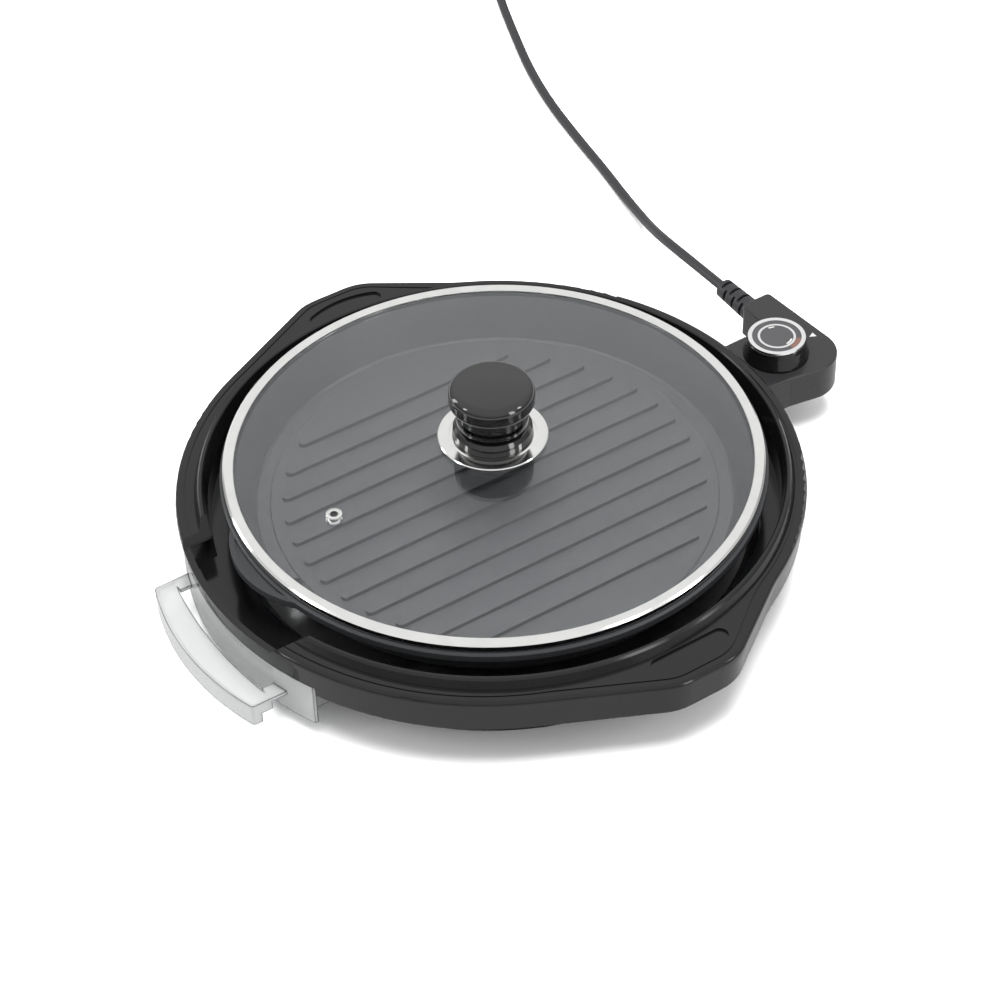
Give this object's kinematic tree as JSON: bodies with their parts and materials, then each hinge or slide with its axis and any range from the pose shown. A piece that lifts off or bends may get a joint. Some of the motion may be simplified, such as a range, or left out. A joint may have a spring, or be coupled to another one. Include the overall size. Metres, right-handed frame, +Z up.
{
  "type": "electric griddle",
  "caption": "Round electric griddle with side handles, ribbed lift-out plate, domed glass lid, clear drip tray and plug-in thermostat with dial and lead.",
  "frame": {"origin": "centre of the plane that the foot ring stands on", "axes": "+Z up, the drip tray faces -Y, the thermostat sits at +Y and the handles lie along X"},
  "size_m": [0.7728, 0.6659, 0.124],
  "materials": {
    "black_gloss": "glossy moulded",
    "black_satin": "satin moulded",
    "black_matt": "matt moulded",
    "knob_black": "polished phenolic",
    "phenolic": "moulded phenolic",
    "foot_rubber": "matt",
    "silicone": "matt",
    "zinc_steel": "zinc plated",
    "element_steel": "oxidised",
    "aluminised_steel": "rolled sheet",
    "nickel_steel": "nickel plated",
    "polished_steel": "polished",
    "chrome_trim": "chromed",
    "brass": "bright",
    "nonstick": "non-stick coated",
    "tempered_glass": "clear",
    "clear_plastic": "translucent moulded",
    "cord_pvc": "satin",
    "tie_pvc": "matt",
    "white_ink": "printed",
    "dial_print": "printed"
  },
  "bodies": {
    "base": {"base_rim": "black_gloss", "base_housing": "black_gloss", "bottom_cover": "black_matt", "base_screws": "zinc_steel", "foot_ring": "foot_rubber", "reflector_pan": "aluminised_steel", "heating_element": "element_steel", "element_clips": "zinc_steel", "plate_posts": "zinc_steel", "terminal_block": "phenolic", "terminal_pins": "nickel_steel"},
    "plate": {"grill_plate": "nonstick"},
    "lid": {"lid_glass": "tempered_glass", "lid_ring": "polished_steel", "vent_eyelet": "polished_steel", "knob_flange": "polished_steel", "knob_collar": "knob_black", "knob_cap": "knob_black", "knob_nut": "brass", "knob_washer": "silicone", "knob_screw": "zinc_steel"},
    "tray": {"drip_tray": "clear_plastic"},
    "thermostat": {"control_upper": "black_satin", "pointer_mark": "white_ink", "control_lower": "black_satin", "control_screws": "zinc_steel", "switch_block": "phenolic", "contact_sleeves": "brass", "contact_blades": "brass", "probe_rod": "nickel_steel", "strain_relief": "cord_pvc", "cord_tube": "cord_pvc", "cord_tail": "cord_pvc", "cord_coil": "cord_pvc", "cord_tie": "tie_pvc", "plug_body": "cord_pvc", "plug_pins": "brass"},
    "dial": {"dial_skirt": "black_gloss", "dial_ring": "chrome_trim", "dial_scale": "dial_print", "dial_bezel": "chrome_trim", "dial_cap": "dial_print", "dial_shaft": "zinc_steel"}
  },
  "joints": [
    {"name": "plate_lift", "type": "slide", "parent": "base", "child": "plate", "axis": [0, 0, 1], "range_m": [0, 0.12]},
    {"name": "lid_lift", "type": "slide", "parent": "plate", "child": "lid", "axis": [0, 0, 1], "range_m": [0, 0.12]},
    {"name": "tray_pull", "type": "slide", "parent": "base", "child": "tray", "axis": [0, -1, 0], "range_m": [0, 0.15]},
    {"name": "thermostat_pull", "type": "slide", "parent": "base", "child": "thermostat", "axis": [0, 1, 0], "range_m": [0, 0.065]},
    {"name": "dial_turn", "type": "hinge", "parent": "thermostat", "child": "dial", "pos_m": [0, 0.211, 0.05], "axis": [0, 0, -1], "range_deg": [0, 270]}
  ]
}
